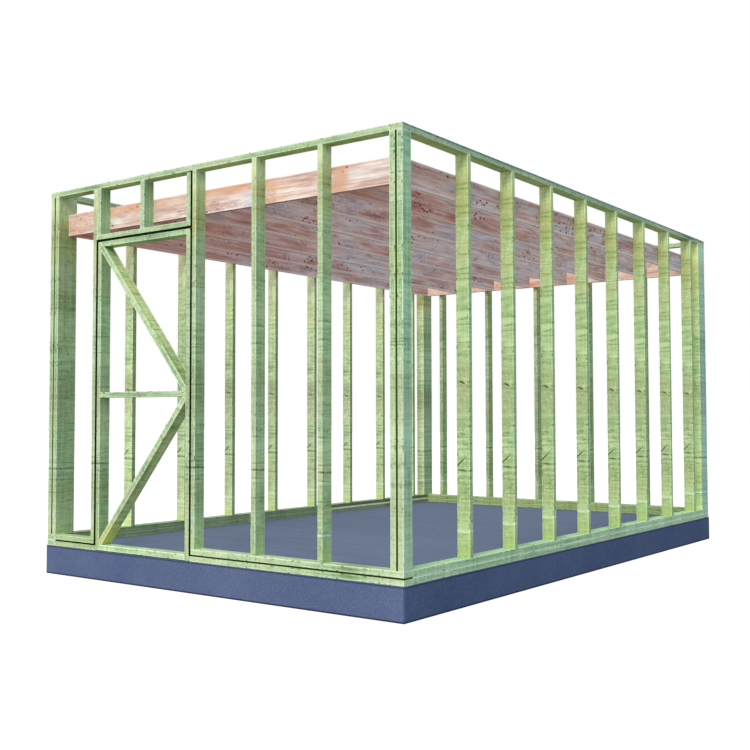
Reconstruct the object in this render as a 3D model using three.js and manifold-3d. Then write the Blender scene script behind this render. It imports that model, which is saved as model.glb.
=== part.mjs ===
// Timber stud frame of a flat-topped garden building on a concrete slab, with ceiling joists and a
// K-braced door leaf. Millimetres, +Z up. +X runs along the front wall, from the door's end to the other,
// +Y from the front wall to the back wall. The origin is the middle of the slab's underside.
import * as THREE from "three";
import { mergeVertices } from "three/addons/utils/BufferGeometryUtils.js";
import Module from "manifold-3d";

const wasm = await Module();
wasm.setup();

// ---- Driving dimensions ----
const WIDTH = 3072; // outside of the left wall to outside of the right wall
const LENGTH = 5077; // outside of the front wall to outside of the back wall
const THICK = 38; // every stick's narrow side
const DEPTH = 89; // wide side of studs and plates, which is also the walls' thickness
const STUD_LENGTH = 2438;
const EASE = 3; // rounding of the sticks' long edges
const EASE_STEPS = 2;
const SEAM = 1.5; // depth of the groove where two eased edges of a built-up post meet
const CLEAR = 0.15; // each stick is this much under size on every face, so neighbours clear by twice this
const LAP = 0.6; // how far fused sticks run into each other

const SLAB_THICKNESS = 200;
const SLAB_REVEAL = 6; // how far the slab stands out past the walls
const SLAB_CHAMFER = 4;

const SEAL = 4; // strip between sill and bottom plate
const SETBACK = 20; // how far seals and spacers lie behind the front and back faces
const SIDE_SETBACK = 2; // the same for the seals of the side walls

const SIDE_STUDS = 8;
const SIDE_STUD_PITCH = 568.5;
const SIDE_LAST_BAY = 380; // near face of the last side stud to the outside of the back wall
const BACK_STUDS = 5;
const BACK_FIRST_STUD = 244;
const BACK_STUD_PITCH = 562;
const FRONT_STUD_PITCH = 516.5; // latch stud, then the two studs to its right

const LEAF_LEFT = 520.5; // left edge of the door leaf
const LEAF_WIDTH = 910;
const LEAF_HEIGHT = 2141;
const LEAF_FLOOR_GAP = 4;
const LEAF_GAP = 10.5; // gap at the leaf's sides and top
const HINGE_SILL_GAP = 3; // narrower gaps between the leaf's foot and the sill's ends
const LATCH_SILL_GAP = 6; // the leaf's outer corner swings through all but 1 mm of this one
const MID_RAIL_HEIGHT = 1054; // slab to the underside of the middle rail
const CRIPPLE_SHORT = 8; // how far the latch-side cripple stops below the top plate

const JOIST_DEPTH = 156;
const JOIST_BOTTOM = 2242; // slab to the underside of the joists
const JOISTS = 8;

const HINGE_FROM_END = 300; // leaf's foot or top to the middle of the hinge near it
const HINGE_HEIGHT = 110;
const HINGE_PLATE = 2.4;
const HINGE_REACH = 40; // how far the plates reach into the gap from the inner face
const KNUCKLES = 5;
const KNUCKLE_RADIUS = 6.5;
const KNUCKLE_GAP = 0.4;
const PIN_RADIUS = 2.8;
const PIN_HEAD_RADIUS = 4.4;
const PIN_HEAD = 3;
const BORE_CLEAR = 0.5;
const ROUND_SIDES = 20;
const GRID = 1024; // corners lie on this fraction of a millimetre, so that level faces stay level

// ---- Levels and lines worked out from them, from the slab's top and the walls' left front corner ----
const PLATE_BOTTOM = THICK + SEAL;
const STUD_FOOT = PLATE_BOTTOM + THICK;
const STUD_TOP = STUD_FOOT + STUD_LENGTH;
const WALL_TOP = STUD_TOP + THICK;
const INNER_LEFT = DEPTH;
const INNER_RIGHT = WIDTH - DEPTH;
const INNER_BACK = LENGTH - DEPTH;
const SIDE_FIRST_STUD = LENGTH - SIDE_LAST_BAY - (SIDE_STUDS - 1) * SIDE_STUD_PITCH;

const LEAF_RIGHT = LEAF_LEFT + LEAF_WIDTH;
const LEAF_TOP = LEAF_FLOOR_GAP + LEAF_HEIGHT;
const LEAF_RAIL_TOP = LEAF_FLOOR_GAP + THICK;
const OPENING_LEFT = LEAF_LEFT - LEAF_GAP;
const OPENING_RIGHT = LEAF_RIGHT + LEAF_GAP;
const HEADER_BOTTOM = LEAF_TOP + LEAF_GAP;
const HEADER_TOP = HEADER_BOTTOM + THICK;
const HEADER_MIDDLE = (OPENING_LEFT + LEAF_RIGHT) / 2;
const JOIST_TOP = JOIST_BOTTOM + JOIST_DEPTH;
const JOIST_PITCH = (INNER_RIGHT - INNER_LEFT - THICK) / (JOISTS - 1);

const HINGE_HEIGHTS = [LEAF_FLOOR_GAP + HINGE_FROM_END, LEAF_TOP - HINGE_FROM_END];
const HINGE_AXIS_X = LEAF_LEFT - LEAF_GAP / 2;
const HINGE_AXIS_Y = DEPTH + KNUCKLE_RADIUS + 1;

// ---- Materials ----
const TREATED_PINE = { color: "#b7cf9a", roughness: 0.8, metalness: 0 };
const JOIST_PINE = { color: "#c79279", roughness: 0.8, metalness: 0 };
const CONCRETE = { color: "#5f6b8c", roughness: 0.95, metalness: 0 };
const GALVANISED = { color: "#9aa0a3", roughness: 0.45, metalness: 0.9 };

// ---- Geometry helpers ----

// Turns an extrusion along Z into one along X or Y, keeping the faces outward.
const TURN = {
  z: new THREE.Matrix4(),
  x: new THREE.Matrix4().set(0, 0, 1, 0, 1, 0, 0, 0, 0, 1, 0, 0, 0, 0, 0, 1),
  y: new THREE.Matrix4().set(0, 1, 0, 0, 0, 0, 1, 0, 1, 0, 0, 0, 0, 0, 0, 1),
};
const SECTION_AXES = { z: ["x", "y"], x: ["y", "z"], y: ["z", "x"] };

// Moves every corner to the grid.
function onGrid(geometry) {
  const { array } = geometry.getAttribute("position");
  for (let i = 0; i < array.length; i++) array[i] = Math.round(array[i] * GRID) / GRID;
  return geometry;
}

// A closed outline through corners [x, y, radius], in order with the inside on the left. Corners that
// point outward are eased, by EASE unless they give a radius of their own.
function easedOutline(corners) {
  const shape = new THREE.Shape();
  const points = corners.map(([x, y]) => new THREE.Vector2(x, y));
  points.forEach((corner, i) => {
    const toward = (other) => other.clone().sub(corner).normalize();
    const back = toward(points.at(i - 1));
    const on = toward(points[(i + 1) % points.length]);
    const radius = on.cross(back) > 0 ? (corners[i][2] ?? EASE) : 0;
    const start = corner.clone().addScaledVector(back, radius);
    if (i === 0) shape.moveTo(start.x, start.y);
    else shape.lineTo(start.x, start.y);
    if (radius === 0) return;
    const end = corner.clone().addScaledVector(on, radius);
    shape.quadraticCurveTo(corner.x, corner.y, end.x, end.y);
  });
  return shape;
}

// An outline drawn across one axis, drawn out along it from low to high.
function prism(along, outline, low, high) {
  const geometry = new THREE.ExtrudeGeometry(outline, {
    depth: high - low,
    bevelEnabled: false,
    curveSegments: EASE_STEPS,
  });
  geometry.translate(0, 0, low);
  geometry.applyMatrix4(TURN[along]);
  return onGrid(geometry);
}

// A sawn stick that fills the box x, y, z, with its grain and its eased edges along one axis.
function stick({ along, ease = EASE, shrink = CLEAR, ...box }) {
  const inner = (axis) => [box[axis][0] + shrink, box[axis][1] - shrink];
  const [[left, right], [bottom, top]] = SECTION_AXES[along].map(inner);
  const corners = [[left, bottom], [right, bottom], [right, top], [left, top]];
  const outline = easedOutline(corners.map((corner) => [...corner, ease]));
  return prism(along, outline, ...inner(along));
}

function toManifold(geometry) {
  const bare = new THREE.BufferGeometry();
  bare.setAttribute("position", geometry.getAttribute("position"));
  if (geometry.index) bare.setIndex(geometry.index);
  const merged = mergeVertices(bare, 1e-4);
  return new wasm.Manifold(
    new wasm.Mesh({
      numProp: 3,
      vertProperties: new Float32Array(merged.attributes.position.array),
      triVerts: new Uint32Array(merged.index.array),
    }),
  );
}

function fromManifold(solid) {
  const mesh = solid.getMesh();
  const geometry = new THREE.BufferGeometry();
  geometry.setAttribute("position", new THREE.BufferAttribute(mesh.vertProperties, 3));
  geometry.setIndex(new THREE.BufferAttribute(mesh.triVerts, 1));
  geometry.computeVertexNormals();
  return geometry;
}

// Joins solids into one, then cuts the others out of it.
function fuse(geometries, cuts = []) {
  let solid = toManifold(geometries[0]);
  for (const geometry of geometries.slice(1)) solid = solid.add(toManifold(geometry));
  for (const cut of cuts) solid = solid.subtract(toManifold(cut));
  return fromManifold(solid);
}

function named(name, geometry, look) {
  const mesh = new THREE.Mesh(geometry, new THREE.MeshStandardMaterial(look));
  mesh.name = name;
  return mesh;
}

const lapped = ([low, high]) => [low - LAP, high + LAP];

// ---- Slab ----
function slab() {
  const halfX = WIDTH / 2 + SLAB_REVEAL - SLAB_CHAMFER;
  const halfY = LENGTH / 2 + SLAB_REVEAL - SLAB_CHAMFER;
  const corners = [[-halfX, -halfY], [halfX, -halfY], [halfX, halfY], [-halfX, halfY]];
  const outline = easedOutline(corners.map((corner) => [...corner, SLAB_CHAMFER]));
  const geometry = new THREE.ExtrudeGeometry(outline, {
    depth: SLAB_THICKNESS - CLEAR - 2 * SLAB_CHAMFER,
    bevelEnabled: true,
    bevelThickness: SLAB_CHAMFER,
    bevelSize: SLAB_CHAMFER,
    bevelSegments: 1,
    curveSegments: 1,
  });
  geometry.translate(0, 0, SLAB_CHAMFER);
  return named("concrete_slab", geometry, CONCRETE);
}

// ---- Walls ----

// Two sticks one on the other with a set-back strip between them: the sill, its seal and the bottom plate.
// The sill may run further than the plate at either end.
function solePlate(along, across, run, sillRun = run) {
  const cross = along === "x" ? "y" : "x";
  const setback = along === "x" ? SETBACK : SIDE_SETBACK;
  const strip = [across[0] + setback, across[1] - setback];
  const layer = (ends, z) => stick({ along, [along]: ends, [cross]: across, z });
  return fuse([
    layer(sillRun, [0, THICK]),
    stick({ along, [along]: run, [cross]: strip, z: lapped([THICK, PLATE_BOTTOM]), ease: 0 }),
    layer(run, [PLATE_BOTTOM, STUD_FOOT]),
  ]);
}

function topPlate(name, along, x, y) {
  return named(name, stick({ along, x, y, z: [STUD_TOP, WALL_TOP] }), TREATED_PINE);
}

function stud(name, x, y) {
  return named(name, stick({ along: "z", x, y, z: [STUD_FOOT, STUD_TOP] }), TREATED_PINE);
}

// A corner post: two studs whose narrow edges face front and back, a spacer between them, and on the
// inner side of three posts two more studs laid across them, as nailers for the side wall. nailerSide is 1
// when those stand behind the post, -1 when they stand in front of it and 0 when there are none.
function cornerPost(name, left, front, nailerSide) {
  const wide = DEPTH - CLEAR;
  const grooveLeft = THICK - CLEAR;
  const grooveRight = DEPTH - grooveLeft;
  const nailers = nailerSide ? [DEPTH, DEPTH + THICK] : [];
  const far = DEPTH + nailers.length * THICK - CLEAR;
  const seam = (x, y, inward, rise) => [
    [x, y - rise * SEAM, 0],
    [x + inward * SEAM, y, 0],
    [x, y + rise * SEAM, 0],
  ];
  const corners = [
    [CLEAR, CLEAR],
    [grooveLeft, CLEAR],
    [grooveLeft, SETBACK],
    [grooveRight, SETBACK],
    [grooveRight, CLEAR],
    [wide, CLEAR],
    ...nailers.flatMap((y) => seam(wide, y, -1, 1)),
    [wide, far],
  ];
  if (!nailerSide) {
    corners.push([grooveRight, far], [grooveRight, DEPTH - SETBACK]);
    corners.push([grooveLeft, DEPTH - SETBACK], [grooveLeft, far]);
  }
  corners.push([CLEAR, far], ...nailers.toReversed().flatMap((y) => seam(CLEAR, y, 1, -1)));
  const placed = corners.map(([x, y, radius]) => [
    left + x,
    nailerSide < 0 ? front + DEPTH - y : front + y,
    radius,
  ]);
  const outline = easedOutline(nailerSide < 0 ? placed.reverse() : placed);
  return named(name, prism("z", outline, STUD_FOOT + CLEAR, STUD_TOP - CLEAR), TREATED_PINE);
}

function walls() {
  const group = new THREE.Group();
  const leftWall = [0, DEPTH];
  const rightWall = [INNER_RIGHT, WIDTH];
  const frontWall = [0, DEPTH];
  const backWall = [INNER_BACK, LENGTH];
  const between = [INNER_LEFT, INNER_RIGHT];
  const wholeLength = [0, LENGTH];

  // Each sole plate runs through one of its corners and butts against its neighbour at the other.
  group.add(named("left_sole_plate", solePlate("y", leftWall, [0, INNER_BACK]), TREATED_PINE));
  group.add(named("right_sole_plate", solePlate("y", rightWall, [DEPTH, LENGTH]), TREATED_PINE));
  group.add(named("back_sole_plate", solePlate("x", backWall, [0, INNER_RIGHT]), TREATED_PINE));

  // The side walls' top plates run the whole length, and the other two lie between them.
  group.add(topPlate("left_top_plate", "y", leftWall, wholeLength));
  group.add(topPlate("right_top_plate", "y", rightWall, wholeLength));
  group.add(topPlate("front_top_plate", "x", between, frontWall));
  group.add(topPlate("back_top_plate", "x", between, backWall));

  group.add(cornerPost("front_left_post", 0, 0, 1));
  group.add(cornerPost("front_right_post", INNER_RIGHT, 0, 0));
  group.add(cornerPost("back_left_post", 0, INNER_BACK, -1));
  group.add(cornerPost("back_right_post", INNER_RIGHT, INNER_BACK, -1));

  for (let i = 0; i < SIDE_STUDS; i++) {
    const near = SIDE_FIRST_STUD + i * SIDE_STUD_PITCH;
    group.add(stud(`left_stud_${i + 1}`, leftWall, [near, near + THICK]));
    group.add(stud(`right_stud_${i + 1}`, rightWall, [near, near + THICK]));
  }
  for (let i = 0; i < BACK_STUDS; i++) {
    const left = BACK_FIRST_STUD + i * BACK_STUD_PITCH;
    group.add(stud(`back_stud_${i + 1}`, [left, left + THICK], backWall));
  }
  return group;
}

// ---- Front wall ----

// The front wall is cut through by the doorway. The hinge stud is nailed to the sole plate that carries it.
function frontWall() {
  const group = new THREE.Group();
  const y = [0, DEPTH];
  const hingeSole = solePlate(
    "x", y, [INNER_LEFT, OPENING_LEFT], [INNER_LEFT, LEAF_LEFT - HINGE_SILL_GAP],
  );
  const hingeStud = stick({
    along: "z",
    x: [OPENING_LEFT - THICK, OPENING_LEFT],
    y,
    z: [STUD_FOOT - LAP, STUD_TOP],
  });
  group.add(named("hinge_stud_and_sole", fuse([hingeSole, hingeStud]), TREATED_PINE));

  const latchSole = solePlate(
    "x", y, [OPENING_RIGHT, WIDTH], [LEAF_RIGHT + LATCH_SILL_GAP, WIDTH],
  );
  group.add(named("front_sole_plate", latchSole, TREATED_PINE));
  ["latch_stud", "front_stud_1", "front_stud_2"].forEach((name, i) => {
    const left = OPENING_RIGHT + i * FRONT_STUD_PITCH;
    group.add(stud(name, [left, left + THICK], y));
  });
  group.add(header());
  return group;
}

// The panel over the door: a rail that carries three cripple studs. Its free end stands clear of the latch
// stud, as the leaf below it does.
function header() {
  const y = [0, DEPTH];
  const cripple = (left, top) => stick({
    along: "z",
    x: [left, left + THICK],
    y,
    z: [HEADER_TOP - LAP, top],
  });
  const pieces = [
    stick({ along: "x", x: [OPENING_LEFT, LEAF_RIGHT], y, z: [HEADER_BOTTOM, HEADER_TOP] }),
    cripple(OPENING_LEFT, STUD_TOP),
    cripple(HEADER_MIDDLE - THICK / 2, STUD_TOP),
    cripple(LEAF_RIGHT - THICK, STUD_TOP - CRIPPLE_SHORT),
  ];
  return named("door_header", fuse(pieces), TREATED_PINE);
}

// ---- Ceiling ----
function ceiling() {
  const group = new THREE.Group();
  const z = [JOIST_BOTTOM, JOIST_TOP];
  const span = [INNER_LEFT, INNER_RIGHT];
  const front = [DEPTH, DEPTH + THICK];
  const back = [INNER_BACK - THICK, INNER_BACK];
  group.add(named("front_rim_joist", stick({ along: "x", x: span, y: front, z }), JOIST_PINE));
  group.add(named("back_rim_joist", stick({ along: "x", x: span, y: back, z }), JOIST_PINE));
  for (let i = 0; i < JOISTS; i++) {
    const left = INNER_LEFT + i * JOIST_PITCH;
    const joist = stick({ along: "y", x: [left, left + THICK], y: [front[1], back[0]], z });
    group.add(named(`ceiling_joist_${i + 1}`, joist, JOIST_PINE));
  }
  return group;
}

// ---- Door leaf ----

// A brace from corner to corner of one of the leaf's two bays, cut to a point that fills each corner.
// rise is 1 when it climbs to the right and -1 when it falls.
function brace(name, low, high, rise) {
  const left = LEAF_LEFT + THICK + CLEAR;
  const right = LEAF_RIGHT - THICK - CLEAR;
  const bottom = low + CLEAR;
  const top = high - CLEAR;
  const slope = Math.atan2(top - bottom, right - left);
  const alongSide = THICK / 2 / Math.sin(slope);
  const alongPost = THICK / 2 / Math.cos(slope);
  const [start, end] = rise > 0 ? [bottom, top] : [top, bottom];
  const outline = [
    [left, start],
    [left + alongSide, start],
    [right, end - rise * alongPost],
    [right, end],
    [right - alongSide, end],
    [left, start + rise * alongPost],
  ];
  // Across Y an outline is drawn in Z and X, with its inside on the left.
  const ordered = rise > 0 ? outline.reverse() : outline;
  const drawn = easedOutline(ordered.map(([x, z]) => [z, x, 0]));
  return named(name, prism("y", drawn, CLEAR, DEPTH - CLEAR), TREATED_PINE);
}

function doorLeaf() {
  const group = new THREE.Group();
  const y = [0, DEPTH];
  const whole = [LEAF_FLOOR_GAP, LEAF_TOP];
  const inner = [LEAF_LEFT + THICK, LEAF_RIGHT - THICK];
  const stile = (name, left) => named(
    name, stick({ along: "z", x: [left, left + THICK], y, z: whole }), TREATED_PINE,
  );
  const rail = (name, bottom) => named(
    name, stick({ along: "x", x: inner, y, z: [bottom, bottom + THICK] }), TREATED_PINE,
  );
  group.add(stile("door_hinge_stile", LEAF_LEFT));
  group.add(stile("door_latch_stile", LEAF_RIGHT - THICK));
  group.add(rail("door_top_rail", LEAF_TOP - THICK));
  group.add(rail("door_middle_rail", MID_RAIL_HEIGHT));
  group.add(rail("door_bottom_rail", LEAF_FLOOR_GAP));
  group.add(brace("door_upper_brace", MID_RAIL_HEIGHT + THICK, LEAF_TOP - THICK, -1));
  group.add(brace("door_lower_brace", LEAF_RAIL_TOP, MID_RAIL_HEIGHT, 1));
  return group;
}

// ---- Hinges ----

// An upright cylinder on the hinge axis.
function round(radius, bottom, top) {
  const geometry = new THREE.CylinderGeometry(radius, radius, top - bottom, ROUND_SIDES);
  geometry.rotateX(Math.PI / 2);
  geometry.translate(HINGE_AXIS_X, HINGE_AXIS_Y, (bottom + top) / 2);
  return geometry;
}

// One half of a butt hinge: a plate in the gap beside the leaf and every second knuckle. The fixed half
// holds the pin, and the moving half is bored to clear it.
function hingeHalf(name, middle, side) {
  const bottom = middle - HINGE_HEIGHT / 2;
  const pitch = HINGE_HEIGHT / KNUCKLES;
  const wood = side < 0 ? OPENING_LEFT + CLEAR : LEAF_LEFT - CLEAR;
  const plateX = [wood, wood - side * HINGE_PLATE].sort((a, b) => a - b);
  const pieces = [
    stick({
      along: "z",
      x: plateX,
      y: [DEPTH - HINGE_REACH, HINGE_AXIS_Y],
      z: [bottom, bottom + HINGE_HEIGHT],
      ease: 0.5,
      shrink: 0,
    }),
  ];
  const cuts = [];
  for (let i = 0; i < KNUCKLES; i++) {
    const low = bottom + i * pitch;
    const high = low + pitch;
    const mine = (i % 2 === 0) === (side < 0);
    if (mine) pieces.push(round(KNUCKLE_RADIUS, low, high));
    else cuts.push(round(KNUCKLE_RADIUS + BORE_CLEAR, low - KNUCKLE_GAP, high + KNUCKLE_GAP));
  }
  const half = fuse(pieces, cuts);
  if (side > 0) {
    const bore = round(PIN_RADIUS + BORE_CLEAR, bottom - 1, bottom + HINGE_HEIGHT + 1);
    return named(name, fuse([half], [bore]), GALVANISED);
  }
  const top = bottom + HINGE_HEIGHT;
  const pin = round(PIN_RADIUS, bottom, top);
  const head = round(PIN_HEAD_RADIUS, top - LAP, top + PIN_HEAD);
  return named(name, fuse([half, pin, head]), GALVANISED);
}

function hinges() {
  const group = new THREE.Group();
  HINGE_HEIGHTS.forEach((middle, i) => {
    group.add(hingeHalf(`hinge_${i + 1}_fixed_half`, middle, -1));
    group.add(hingeHalf(`hinge_${i + 1}_moving_half`, middle, 1));
  });
  return group;
}

// ---- The whole building ----
const building = new THREE.Group();
building.name = "timber_building_frame";
building.add(slab());

const timberwork = new THREE.Group();
timberwork.position.set(-WIDTH / 2, -LENGTH / 2, SLAB_THICKNESS);
timberwork.add(walls(), frontWall(), ceiling(), doorLeaf(), hinges());
building.add(timberwork);

export default building;
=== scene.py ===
# %% [markdown]
# # A timber building frame on a concrete slab
# The object is the bare skeleton of a small building: walls of sawn, pressure-treated pine, ceiling joists
# of untreated pine, a framed door leaf and a cast slab. Its solids are already exact, since sawn timber is a
# straight prism with eased edges, so nothing is modelled here. This lesson is about finishes: sawn wood,
# preservative stain, cast concrete and zinc, all made from noise and arithmetic at their real scale. The
# frame is loaded first. It holds one mesh for each solid, in metres and in place.

# %% Load the frame
import math

import bpy
import numpy as np
from mathutils import Euler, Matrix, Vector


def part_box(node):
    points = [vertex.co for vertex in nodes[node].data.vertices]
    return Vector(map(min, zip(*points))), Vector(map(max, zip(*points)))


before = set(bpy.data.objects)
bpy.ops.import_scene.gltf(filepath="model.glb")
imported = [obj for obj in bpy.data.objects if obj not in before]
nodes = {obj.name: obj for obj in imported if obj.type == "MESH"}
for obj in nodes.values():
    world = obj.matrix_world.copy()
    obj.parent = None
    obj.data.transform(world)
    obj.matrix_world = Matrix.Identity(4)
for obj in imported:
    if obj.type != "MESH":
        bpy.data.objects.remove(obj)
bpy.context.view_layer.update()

# %% [markdown]
# ## Measures
# A finish has to know where things are: a stain lies so high over the slab, and a wet line follows a gap.
# The frame gives the low and the high corner of every solid, so heights, gaps and pitches are read from it.
# Only the section of a stick, 38 by 89 mm, is a value of its own.

# %% Measure the built-up pieces
MM = 0.001
THICK = 0.038
DEPTH = 0.089
SLAB_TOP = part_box("concrete_slab")[1].z
SOLE_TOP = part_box("left_sole_plate")[1].z
SOLE_PITCH = SOLE_TOP - SLAB_TOP - THICK
WALL_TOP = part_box("right_top_plate")[1].z
WALL_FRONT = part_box("latch_stud")[0].y
RIM_LOW, RIM_TOP = (corner.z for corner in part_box("front_rim_joist"))
LEAF_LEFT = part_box("door_hinge_stile")[0].x
LEAF_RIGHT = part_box("door_latch_stile")[1].x
LEAF_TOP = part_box("door_top_rail")[1].z
HEADER_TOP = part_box("door_header")[0].z + THICK
DOOR_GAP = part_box("latch_stud")[0].x - LEAF_RIGHT
CRIPPLE_PITCH = (LEAF_RIGHT - LEAF_LEFT + DOOR_GAP - THICK) / 2
print("gap round the leaf", round(DOOR_GAP, 4), "m, pitch of the sole boards", round(SOLE_PITCH, 4), "m")

# %% [markdown]
# ## Colours
# A colour is written as the usual hex value, which is curved to suit the eye. The renderer adds up real
# light and wants it straight, so one function undoes the curve.

# %% Colours
def linear(hex_colour):
    """An sRGB hex colour as linear RGBA: each channel goes through the inverse of the sRGB curve."""
    channels = np.array([int(hex_colour[i : i + 2], 16) for i in (1, 3, 5)]) / 255.0
    straight = np.where(channels <= 0.04045, channels / 12.92, ((channels + 0.055) / 1.055) ** 2.4)
    return (*straight.tolist(), 1.0)


print("a pine green in linear light:", [round(channel, 3) for channel in linear("#b2c9a1")[:3]])

# %% [markdown]
# ## One helper for every node
# A finish in Blender is a graph of small nodes, which could be placed by hand in the shader editor. In a
# script one helper does it: it adds a node, links or sets its inputs and hands back an output, so that a
# graph reads from top to bottom like a list of steps.

# %% The node helper
def add(tree, kind, *values, out=0, stops=(), **named):
    """Adds a node and returns one of its outputs, or several for a slice. The values fill its open inputs in
    order. A named value goes to the input of that name if it starts with a capital, and otherwise it is the
    node's own setting. A socket is linked and anything else is set. stops are a ramp's places and colours."""
    node = tree.nodes.new("ShaderNode" + kind)
    for key, value in named.items():
        if key[0].islower():
            setattr(node, key, value)
    wanted = list(zip([socket for socket in node.inputs if socket.enabled], values))
    wanted += [(node.inputs[key], value) for key, value in named.items() if key[0].isupper()]
    for socket, value in wanted:
        if isinstance(value, bpy.types.NodeSocket):
            tree.links.new(value, socket)
        else:
            socket.default_value = linear(value) if isinstance(value, str) else value
    if stops:
        elements = node.color_ramp.elements
        while len(elements) < len(stops):
            elements.new(0.5)
        for element, (place, colour) in zip(elements, stops):
            element.position = place
            element.color = linear(colour)
    shown = [socket for socket in node.outputs if socket.enabled]
    return node.outputs[out] if isinstance(out, str) else shown[out] if shown else node


def new_material(name):
    """A material with only a Principled shader and its output."""
    material = bpy.data.materials.new(name)
    material.use_nodes = True
    tree = material.node_tree
    tree.nodes.clear()
    surface = add(tree, "BsdfPrincipled")
    add(tree, "OutputMaterial", surface)
    return material, tree, surface.node.inputs


def dress(name, material):
    """Puts a material on a solid in place of the plain one."""
    nodes[name].data.materials.clear()
    nodes[name].data.materials.append(material)


print("plain materials on arrival:", len(bpy.data.materials))

# %% [markdown]
# ## Camera
# The camera stands outside the near corner, a little over a metre high, and looks up by a few degrees. Its
# 50 mm lens sees about as widely as the eye. The shift slides the view in its frame and doesn't turn the
# camera, so the perspective stays the same.

# %% Place the camera
CAMERA_PLACE = (4.7264, -7.3593, 1.1224)
LOOK_UP = 2.622
TURN_LEFT = 37.863
LENS_MM = 50.59
SENSOR_MM = 36.0
SHIFT = (0.0697, -0.0087)

camera_data = bpy.data.cameras.new("camera")
camera_data.lens = LENS_MM
camera_data.sensor_width = SENSOR_MM
camera_data.shift_x, camera_data.shift_y = SHIFT
camera = bpy.data.objects.new("camera", camera_data)
camera.location = CAMERA_PLACE
camera.rotation_euler = (math.radians(90 + LOOK_UP), 0.0, math.radians(TURN_LEFT))
bpy.context.scene.collection.objects.link(camera)
bpy.context.scene.camera = camera
print("camera", round(math.dist(CAMERA_PLACE, (0, 0, 0)), 2), "m from the middle of the slab")

# %% [markdown]
# ## Lamps
# One broad light stands in front and a little to the right, at the height of an afternoon sun, so the faces
# that look forward are nearly twice as bright as the ones that look right. A weak, cool light comes level
# from the right. A sun lamp lights near and far alike, and a wide disc gives it soft shadows.

# %% Lamps
def sun(name, strength, colour, azimuth, elevation, width):
    """A sun lamp, with its angles in degrees. Azimuth is measured from +X towards +Y and says where the light
    comes from."""
    data = bpy.data.lights.new(name, "SUN")
    data.energy = strength
    data.color = linear(colour)[:3]
    data.angle = math.radians(width)
    lamp = bpy.data.objects.new(name, data)
    lamp.rotation_euler = (math.radians(90 - elevation), 0.0, math.radians(azimuth + 90))
    bpy.context.scene.collection.objects.link(lamp)


sun("front_light", strength=2.05, colour="#fffaf2", azimuth=-76, elevation=36, width=30)
sun("right_light", strength=0.20, colour="#d8ecff", azimuth=0, elevation=10, width=40)

# %% [markdown]
# ## Sky
# The rest of the light is an even pale sky, which fills the shadows as the walls of a white studio do. Behind
# the object it would show as a dull grey, so a Light Path node picks out the rays that start at the camera
# and gives them a clean white backdrop instead.

# %% Sky
SKY_STRENGTH = 0.62
world = bpy.data.worlds.new("studio")
bpy.context.scene.world = world
world.use_nodes = True
world.node_tree.nodes.clear()
sky = add(world.node_tree, "Background", "#f2f6ff", SKY_STRENGTH)
backdrop = add(world.node_tree, "Background", "#ffffff", 1.0)
seen = add(world.node_tree, "LightPath", out="Is Camera Ray")
add(world.node_tree, "OutputWorld", add(world.node_tree, "MixShader", seen, sky, backdrop))
bpy.context.scene.view_settings.view_transform = "Standard"
print("the sky has", len(world.node_tree.nodes), "nodes")

# %% [markdown]
# ## Where the grain runs
# A wood pattern has to follow each stick. Unwrapping them all by hand would do it, but a stick is straight,
# so it is enough to turn the coordinates: in the turned frame X runs along the stick. A shift then takes it
# from another part of the log than its neighbour. Of a point's three distances to the pairs of faces, the
# middle one is its distance from the nearest edge.
#
# A few solids hold more than one stick. Two kinds of stick are split at a plane. Sticks that repeat side by
# side, as the two studs of a corner post do, are folded on to the first one.

# %% The stick's own frame
LEVEL_X = (0.0, 0.0, 0.0)
LEVEL_Y = (0.0, 0.0, -math.pi / 2)
UPRIGHT = (0.0, math.pi / 2, 0.0)
NO_REPEAT = 100.0
TINY = 1e-6


def one_stick(turn, low, size, pitch=(0.0, 0.0, 0.0)):
    """A stick's turn and, in its own frame, the corner where it starts, its half size and the pitch at which
    it repeats. low, size and pitch are given along the world's X, Y and Z."""
    matrix = np.array(Euler(turn).to_matrix())
    half = np.abs(matrix @ size) / 2
    start = matrix @ (np.array(low) + np.array(size) / 2) - half
    pitch = np.abs(matrix @ pitch)
    return turn, start.tolist(), half.tolist(), np.where(pitch > TINY, pitch, NO_REPEAT).tolist()


def stick_frame(tree, place, stick, shift):
    """The place in one stick's own frame, and its distance from the nearest edge. Sticks that repeat are
    folded on to the first. The middle of three numbers is max(min(x, y), min(max(x, y), z))."""
    turn, start, half, pitch = stick
    turned = add(tree, "Mapping", Vector=place, Rotation=turn)
    from_start = add(tree, "VectorMath", turned, start, operation="SUBTRACT")
    folded = add(tree, "VectorMath", from_start, pitch, (0.0, 0.0, 0.0), operation="WRAP")
    off_middle = add(tree, "VectorMath", folded, half, operation="SUBTRACT")
    distance = add(tree, "VectorMath", off_middle, operation="ABSOLUTE")
    depth = add(tree, "VectorMath", half, distance, operation="SUBTRACT")
    x, y, z = add(tree, "SeparateXYZ", depth, out=slice(None))
    low_pair = add(tree, "Math", x, y, operation="MINIMUM")
    high_pair = add(tree, "Math", x, y, operation="MAXIMUM")
    rest = add(tree, "Math", high_pair, z, operation="MINIMUM")
    edge = add(tree, "Math", low_pair, rest, operation="MAXIMUM")
    return add(tree, "VectorMath", folded, shift, operation="ADD"), edge


def grain_frame(tree, place, sticks, split, shift):
    """stick_frame for a solid of one stick, or of two that are split at (axis, level)."""
    found = [stick_frame(tree, place, stick, shift) for stick in sticks]
    if len(found) == 1:
        return found[0]
    axis, level = split
    beyond = add(tree, "Math", add(tree, "SeparateXYZ", place, out=axis), level, operation="GREATER_THAN")
    grain = add(tree, "Mix", beyond, found[0][0], found[1][0], data_type="VECTOR")
    return grain, add(tree, "Mix", beyond, found[0][1], found[1][1])


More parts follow.
